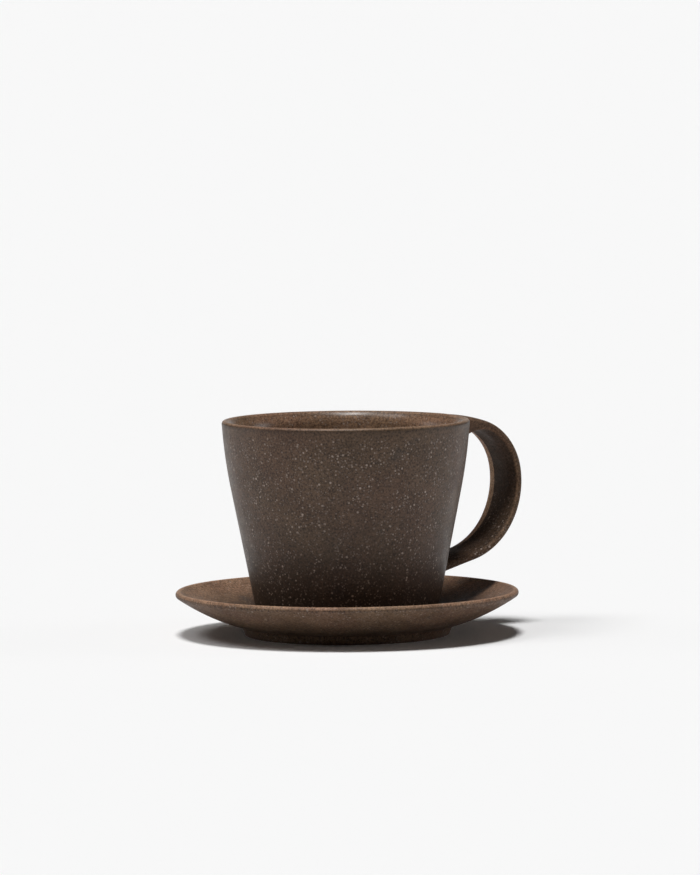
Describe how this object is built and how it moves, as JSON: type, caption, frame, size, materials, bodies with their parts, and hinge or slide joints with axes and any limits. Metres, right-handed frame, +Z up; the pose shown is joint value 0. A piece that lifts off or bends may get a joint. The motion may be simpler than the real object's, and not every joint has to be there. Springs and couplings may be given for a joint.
{
  "type": "coffee cup with saucer",
  "caption": "Tapered stoneware coffee cup with a flat strap handle, standing in the well of a shallow saucer; the cup lifts off.",
  "frame": {"origin": "on the saucer's axis, in the plane of the foot ring that stands on the table", "axes": "+Z up along the axis of cup and saucer, +X out through the handle, +Y to the left of the handle seen from the cup"},
  "size_m": [0.1262, 0.118, 0.074],
  "materials": {
    "saucer_clay": "satin",
    "cup_clay": "satin"
  },
  "bodies": {
    "saucer": {"saucer": "saucer_clay"},
    "cup": {"cup_body": "cup_clay", "cup_handle": "cup_clay"}
  },
  "joints": [
    {"name": "cup_lift", "type": "slide", "parent": "saucer", "child": "cup", "axis": [0, 0, 1], "range_m": [0, 0.1]}
  ]
}
